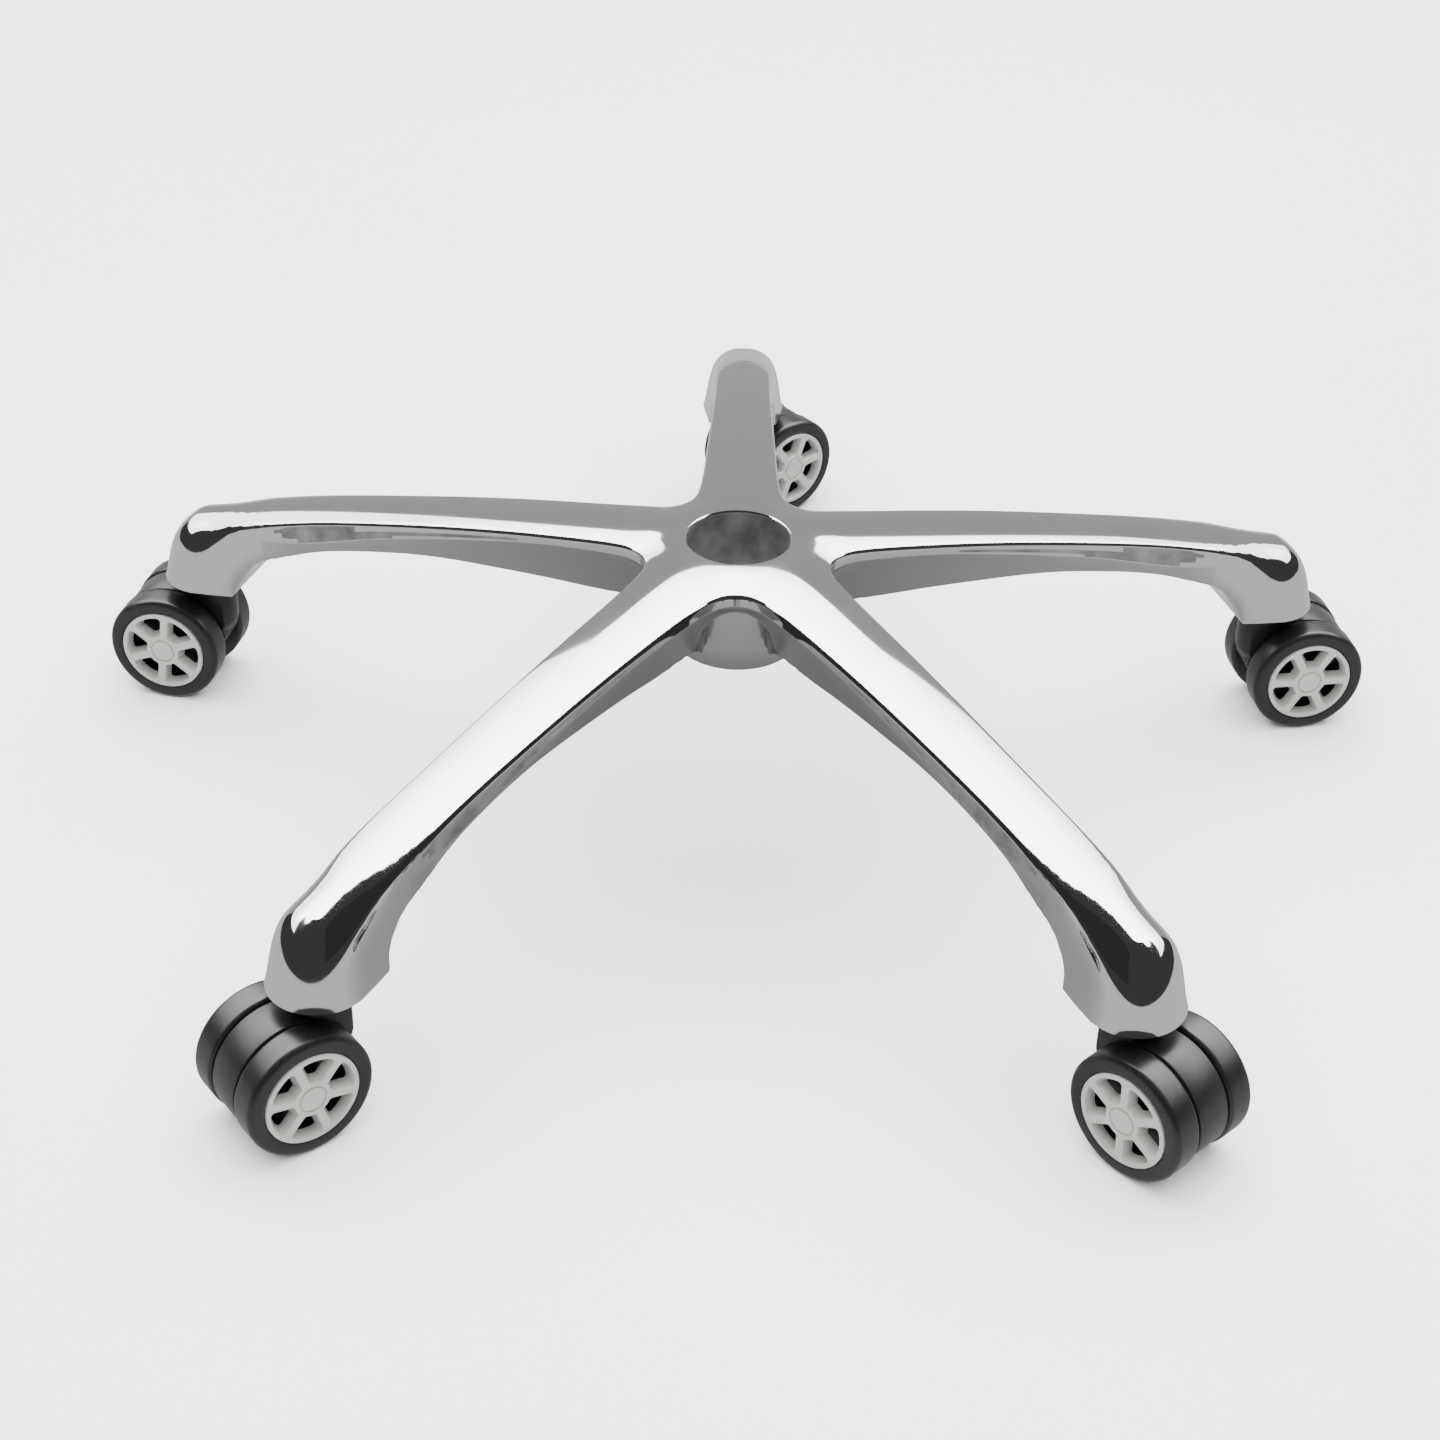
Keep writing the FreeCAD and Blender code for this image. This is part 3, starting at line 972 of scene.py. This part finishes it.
def tyre_mesh():
    bm = bmesh.new()
    profile = [(RIM_RADIUS, TYRE_INNER), (25.0, TYRE_INNER), (27.6, TYRE_INNER)]
    profile += arc_points((28.2, 12.2), 1.8, -80, 0, 5)
    profile += [(WHEEL_RADIUS, 15.0), (WHEEL_RADIUS, 18.5)]
    profile += arc_points((27.2, 22.2), 2.8, 0, 84, 7)
    profile += [(26.6, TYRE_OUTER), (24.6, TYRE_OUTER), (23.4, 24.9)]
    profile += [(22.9, 24.6), (RIM_RADIUS, 24.2)]
    turned_mesh(bm, profile, TYRE_STEPS)
    return finish_mesh(bm, "tyre", MERGE_MM)


tyre = tyre_mesh()
tyre.materials.append(tread_black)
add_to_wheels(tyre, "tread_", "tyre_", dict.fromkeys(CASTERS, 0.0))
print("tyre", len(tyre.polygons), "faces")

# %% [markdown]
# The silver cap is deep: six windows narrow towards the back, so light walls show inside them, and
# a thin ring stands round the spokes. Its centre is a button with a fine groove.

# %% Windows of the cap
CAP_RADIUS = 22.3
CAP_BACK = 20.6
CAP_FACE = 25.6
WINDOW_OUTER = 20.1
WINDOW_INNER = 8.8
SPOKE_HALF = 2.0
SPOKES = 6
OUTER_CORNER = 2.4
INNER_CORNER = 1.2
OUTER_STEPS = 6
INNER_STEPS = 4
CORNER_STEPS = 5


def window_outline(index):
    span = 360.0 / SPOKES
    outer = math.degrees(math.asin(SPOKE_HALF / WINDOW_OUTER))
    inner = math.degrees(math.asin(SPOKE_HALF / WINDOW_INNER))
    points = []
    for k in range(OUTER_STEPS + 1):
        points.append((mix(outer, span - outer, k / OUTER_STEPS), WINDOW_OUTER))
    for k in range(INNER_STEPS + 1):
        points.append((mix(span - inner, inner, k / INNER_STEPS), WINDOW_INNER))
    placed = []
    for angle, reach in points:
        turn = math.radians(span * index + angle)
        placed.append(Vector((reach * math.cos(turn), reach * math.sin(turn))))
    radii = [OUTER_CORNER] + [0.0] * (OUTER_STEPS - 1) + [OUTER_CORNER]
    radii += [INNER_CORNER] + [0.0] * (INNER_STEPS - 1) + [INNER_CORNER]
    return rounded(placed, radii)


def rounded(points, radii):
    made = []
    for i, point in enumerate(points):
        if radii[i] == 0:
            made.append(point)
            continue
        back = points[i - 1] - point
        ahead = points[(i + 1) % len(points)] - point
        first = point + back.normalized() * radii[i]
        last = point + ahead.normalized() * radii[i]
        for k in range(CORNER_STEPS + 1):
            t = k / CORNER_STEPS
            made.append(first * (1 - t) ** 2 + point * 2 * t * (1 - t) + last * t * t)
    return made


def circle_outline(radius, steps):
    turns = [2 * math.pi * i / steps for i in range(steps)]
    return [Vector((radius * math.cos(turn), radius * math.sin(turn))) for turn in turns]


print("points round a window", len(window_outline(0)))

# %% Spoked cap
WINDOW_REACH = (7.5, 21.0)
WINDOW_MIDDLE = 14.9
WINDOW_NARROWS = 0.7
BACK_MARGIN = 1.0
BUTTON_SEAT = 6.5
CAP_EDGE = 0.4
BUTTON = [(0.0, 26.05), (3.0, 26.02), (5.0, 25.94), (5.55, 25.8), (5.85, 25.5), (5.9, 25.0)]
BUTTON += [(6.7, 25.0), (6.7, 24.2), (0.0, 24.2)]


def plate_mesh(outlines, low, high, edge):
    curve = bpy.data.curves.new("plate", "CURVE")
    curve.dimensions = "2D"
    curve.fill_mode = "BOTH"
    curve.extrude = (high - low) / 2 - edge
    curve.bevel_depth = edge
    curve.bevel_resolution = 2
    curve.offset = -edge
    for outline_points in outlines:
        spline = curve.splines.new("POLY")
        spline.points.add(len(outline_points) - 1)
        for target, point in zip(spline.points, outline_points):
            target.co = (point[0], point[1], 0.0, 1.0)
        spline.use_cyclic_u = True
    holder = bpy.data.objects.new("plate", curve)
    bpy.context.scene.collection.objects.link(holder)
    graph = bpy.context.evaluated_depsgraph_get()
    mesh = bpy.data.meshes.new_from_object(holder.evaluated_get(graph))
    bpy.data.objects.remove(holder)
    mesh.transform(Matrix.Translation((0.0, 0.0, (low + high) / 2)))
    return mesh


def narrow_windows(bm):
    for vert in bm.verts:
        reach = math.hypot(vert.co.x, vert.co.y)
        if vert.co.z > CAP_BACK + BACK_MARGIN or not WINDOW_REACH[0] < reach < WINDOW_REACH[1]:
            continue
        span = 2 * math.pi / SPOKES
        index = math.floor(math.atan2(vert.co.y, vert.co.x) / span)
        bearing = (index + 0.5) * span
        middle = Vector((math.cos(bearing), math.sin(bearing), 0.0)) * WINDOW_MIDDLE
        middle.z = vert.co.z
        vert.co = middle + (vert.co - middle) * WINDOW_NARROWS


def cap_mesh():
    outlines = [circle_outline(CAP_RADIUS, 120), circle_outline(BUTTON_SEAT, 48)]
    outlines += [window_outline(i) for i in range(SPOKES)]
    plate = plate_mesh(outlines, CAP_BACK, CAP_FACE, CAP_EDGE)
    bm = bmesh.new()
    bm.from_mesh(plate)
    narrow_windows(bm)
    turned_mesh(bm, BUTTON, 64, closed=False)
    return finish_mesh(bm, "cap", MERGE_MM, sharp=40.0)


cap = cap_mesh()
cap.materials.append(silver)
add_to_wheels(cap, "cap_", "hub_cap_", CAP_TURN)
print("cap", len(cap.polygons), "faces")

# %% [markdown]
# The housing is one black moulding: a hood over the wheels, a web down its middle with the axle
# boss, and in front a neck with a round head that turns under the foot.

# %% Parts of the housing
HOOD_HALF = 9.2
BOSS_RADIUS = 13.2
BOSS_TOP = 67.0
BOSS_RIM = 6.0
NECK_SHARES = (0.31, 0.62, 0.83, 0.94, 0.985, 1.0)


def skin_loops(bm, loops):
    for a, b in zip(loops, loops[1:]):
        count = len(a)
        for i in range(count):
            j = (i + 1) % count
            bm.faces.new((a[i], b[i], b[j], a[j]))
    bm.faces.new(loops[0])
    bm.faces.new(loops[-1])


def across_prism(bm, outline_points, half):
    skin_loops(
        bm, [[bm.verts.new((x, y, z)) for x, z in outline_points] for y in (half, -half)]
    )


def neck(bm):
    shares = [*(-share for share in reversed(NECK_SHARES)), 0.0, *NECK_SHARES]
    made = []
    for share in shares:
        b = HOOD_HALF * share
        front = -math.sqrt(BOSS_RADIUS**2 - b * b)
        back = -front
        outline_points = [
            (front, BOSS_TOP - BOSS_RIM + 0.5),
            (front, 50.0),
            (front, 41.5),
            (front + 0.8, 39.0),
            (front + 3.4, 35.5),
            (-6.4, 27.4),
            (-5.6, 27.0),
            (back, 27.0),
            (back, BOSS_TOP - BOSS_RIM + 0.5),
        ]
        made.append([bm.verts.new((x, b, z)) for x, z in outline_points])
    skin_loops(bm, made)


def bevel_sharp(bm, width, limit=30.0):
    edges = []
    for edge in bm.edges:
        if len(edge.link_faces) == 2 and edge.calc_face_angle() > math.radians(limit):
            edges.append(edge)
    bmesh.ops.bevel(
        bm, geom=edges, offset=width, affect="EDGES", segments=3, profile=0.5, material=-1
    )


print("neck has", 2 * len(NECK_SHARES) + 1, "sections")

# %% Housing
AXLE_CENTRE = (TRAIL, WHEEL_RADIUS)
AXLE_BOSS = 8.0
HOOD_RADIUS = 29.2
HOOD_INNER = 25.6
HOOD_ENDS = (-22.0, 176.0)
HOOD_TUCK = 3.0
WEB_OVERLAP = 1.0
WEB_BACK = 2.0
WEB_HALF = 2.4
MOULDED_EDGE = 0.55


def housing_mesh():
    bm = bmesh.new()
    front, back = HOOD_ENDS
    hood = arc_points(AXLE_CENTRE, HOOD_RADIUS, front, back, 64)
    hood += arc_points(AXLE_CENTRE, HOOD_INNER, back, front - HOOD_TUCK, 60)
    across_prism(bm, hood, HOOD_HALF)
    web_radius = HOOD_INNER + WEB_OVERLAP
    web = arc_points(AXLE_CENTRE, web_radius, front - WEB_BACK, back - WEB_BACK, 40)
    web += [(-8.0, 30.5), (6.0, 24.8), (TRAIL, 19.0)]
    across_prism(bm, web, WEB_HALF)
    across_prism(bm, arc_points(AXLE_CENTRE, AXLE_BOSS, 0.0, 352.5, 47), HOOD_HALF)
    neck(bm)
    bmesh.ops.recalc_face_normals(bm, faces=bm.faces)
    bevel_sharp(bm, MOULDED_EDGE)
    head = [(0.0, BOSS_TOP), (BOSS_RADIUS - 1.2, BOSS_TOP), (BOSS_RADIUS - 0.5, BOSS_TOP - 0.2)]
    head += [(BOSS_RADIUS - 0.1, BOSS_TOP - 0.7), (BOSS_RADIUS, BOSS_TOP - 1.3)]
    head += [(BOSS_RADIUS, BOSS_TOP - BOSS_RIM + 0.6), (BOSS_RADIUS - 0.5, BOSS_TOP - BOSS_RIM)]
    head += [(0.0, BOSS_TOP - BOSS_RIM)]
    turned_mesh(bm, head, 72, closed=False)
    return finish_mesh(bm, "housing", MERGE_MM, sharp=40.0)


housing = housing_mesh()
housing.materials.append(nylon_black)
for name in CASTERS:
    mesh = placed_copy(housing, "shell_" + name, stem_matrix(name))
    add_piece("shell_" + name, mesh, "caster_" + name, ["housing_" + name])
print("housing", len(housing.polygons), "faces")

# %% [markdown]
# The stems, grip rings, axles and wheel cores stay as the frame has them and only get their finish.

# %% Finish the carried pieces
carried = {"stem": steel, "grip_ring": steel, "axle": steel, "wheel_core": nylon_black}
for node_name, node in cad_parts.items():
    for kind, material in carried.items():
        if node_name.startswith(kind):
            node.data.materials.clear()
            node.data.materials.append(material)
print("carried pieces finished")

# %% [markdown]
# The studio. Two soft lights above shine on a pale floor and on the casters. A polished part shows
# its surroundings, so there are also cards that only reflections see: a glowing floor, darker under
# the base as a painted shadow of the base on it, a grey backdrop, and a softbox overhead that draws
# the white streaks. Round them the room is dark, which draws the black lines along the lower edges.
# A black flag stands edge on between the camera and the hub, and darkens what the front arms show of
# each other's side.

# %% Floor
FLOOR = -HUB_HEIGHT * MM - 0.0002
FLOOR_HALF = 6.0
FLOOR_NEAR = -4.0
FLOOR_FAR = 8.0


def flat_panel(name, corners, material):
    bm = bmesh.new()
    bm.faces.new([bm.verts.new(c) for c in corners])
    mesh = bpy.data.meshes.new(name)
    bm.to_mesh(mesh)
    bm.free()
    mesh.materials.append(material)
    panel = bpy.data.objects.new(name, mesh)
    bpy.context.scene.collection.objects.link(panel)
    return panel


def floor_corners(near):
    ends = [(-FLOOR_HALF, near), (FLOOR_HALF, near)]
    ends += [(FLOOR_HALF, FLOOR_FAR), (-FLOOR_HALF, FLOOR_FAR)]
    return [(x, y, FLOOR) for x, y in ends]


def floor_material():
    material, shader = new_material("pale studio floor")
    tone = spread(material, object_noise(material, 900.0, 2.0), 0.0, 1.0)
    link(material, blend_colours(material, tone, "F4F4F3", "F8F8F8"), shader.inputs["Base Color"])
    shader.inputs["Roughness"].default_value = 0.7
    return material


floor = flat_panel("studio_floor", floor_corners(FLOOR_NEAR), floor_material())
floor.visible_glossy = False
print("floor at", round(FLOOR, 4))

# %% Cards that only the polished metal sees


def glow_material(name, tone):
    material = bpy.data.materials.new(name)
    material.use_nodes = True
    material.node_tree.nodes.clear()
    glow = add_node(material, "ShaderNodeEmission", {"Strength": tone})
    out = add_node(material, "ShaderNodeOutputMaterial")
    link(material, glow.outputs["Emission"], out.inputs["Surface"])
    return material, glow


def fading_glow(name, near_tone, far_tone, near, far):
    material, glow = glow_material(name, near_tone)
    place = add_node(material, "ShaderNodeTexCoord")
    reach = add_node(material, "ShaderNodeVectorMath", operation="LENGTH")
    link(material, place.outputs["Object"], reach.inputs[0])
    fade = spread(material, reach.outputs["Value"], near_tone, far_tone, near, far)
    link(material, fade, glow.inputs["Strength"])
    return material


def card(name, corners, material):
    panel = flat_panel(name, corners, material)
    panel.visible_camera = False
    panel.visible_diffuse = False
    panel.visible_shadow = False


FLOOR_CARD_NEAR = -0.61
BACKDROP = [(-7.0, FLOOR), (7.0, FLOOR), (7.0, 6.5), (-7.0, 6.5)]
BACKDROP_PLACE = 6.0
FLAG = [(-1.0, -0.03), (-0.06, -0.03), (-0.06, 1.3), (-1.0, 1.3)]
SOFTBOX_HEIGHT = 2.0
SOFTBOX = [
    (-4.2, -0.9),
    (-1.4, 0.2),
    (-0.4, 0.38),
    (0.4, 0.38),
    (1.4, 0.2),
    (4.2, -0.9),
    (4.2, 1.5),
    (2.8, 3.1),
    (1.65, 3.1),
    (0.75, 2.35),
    (0.0, 3.0),
    (-0.75, 2.35),
    (-2.4, 4.7),
    (-4.2, 4.7),
]
# The floor card glows 0.2 near the hub and 0.95 further out: the darker middle is a painted shadow of
# the base, seen only in reflections.
floor_glow = fading_glow("floor seen in the metal", 0.2, 0.95, 0.13, 0.4)
card("floor_card", floor_corners(FLOOR_CARD_NEAR), floor_glow)
back_glow, _ = glow_material("grey backdrop", 0.56)
card("backdrop", [(x, BACKDROP_PLACE, z) for x, z in BACKDROP], back_glow)
flag_glow, _ = glow_material("black flag", 0.045)
card("flag", [(0.0, y, z) for y, z in FLAG], flag_glow)
box_glow = fading_glow("softbox seen in the metal", 13.0, 5.5, 2.3, 3.7)
card("softbox", [(x, y, SOFTBOX_HEIGHT) for x, y in SOFTBOX], box_glow)
print("cards ready")

# %% Lights


def soft_light(name, place, width, depth, power):
    lamp = bpy.data.lights.new(name, "AREA")
    lamp.shape = "RECTANGLE"
    lamp.size = width
    lamp.size_y = depth
    lamp.energy = power
    holder = bpy.data.objects.new(name, lamp)
    bpy.context.scene.collection.objects.link(holder)
    holder.location = place
    holder.visible_glossy = False


soft_light("overhead", (0.0, 1.2, 2.3), 4.4, 3.4, 420.0)
soft_light("front fill", (0.0, -1.6, 2.0), 4.0, 2.0, 150.0)
world = bpy.data.worlds.new("studio")
bpy.context.scene.world = world
world.use_nodes = True
background = world.node_tree.nodes["Background"]
background.inputs["Color"].default_value = (1.0, 1.0, 1.0, 1.0)
background.inputs["Strength"].default_value = 0.07
print("lights", len(bpy.data.lights))

# %% [markdown]
# The camera stands where the photographer's stood. Its place and its angles came from fitting the
# casters, the bore and the arm tips to the photograph.

# %% Camera
CAMERA_PLACE = (0.00192, -1.07128, 0.63246)
CAMERA_LENS = 64.42
YAW = math.radians(0.4725)
PITCH = math.radians(-34.6255)
ROLL = math.radians(1.2874)


def camera_matrix():
    flat = math.cos(PITCH)
    forward = Vector((-math.sin(YAW) * flat, math.cos(YAW) * flat, math.sin(PITCH)))
    level = Vector((math.cos(YAW), math.sin(YAW), 0.0))
    upright = level.cross(forward)
    right = level * math.cos(ROLL) + upright * math.sin(ROLL)
    up = upright * math.cos(ROLL) - level * math.sin(ROLL)
    matrix = Matrix((right, up, -forward)).transposed().to_4x4()
    matrix.translation = Vector(CAMERA_PLACE)
    return matrix


camera_data = bpy.data.cameras.new("photo_camera")
camera_data.lens = CAMERA_LENS
camera_data.sensor_width = 36.0
camera = bpy.data.objects.new("photo_camera", camera_data)
bpy.context.scene.collection.objects.link(camera)
camera.matrix_world = camera_matrix()
bpy.context.scene.camera = camera
print("camera at", CAMERA_PLACE)

# %% Update the scene
bpy.context.view_layer.update()
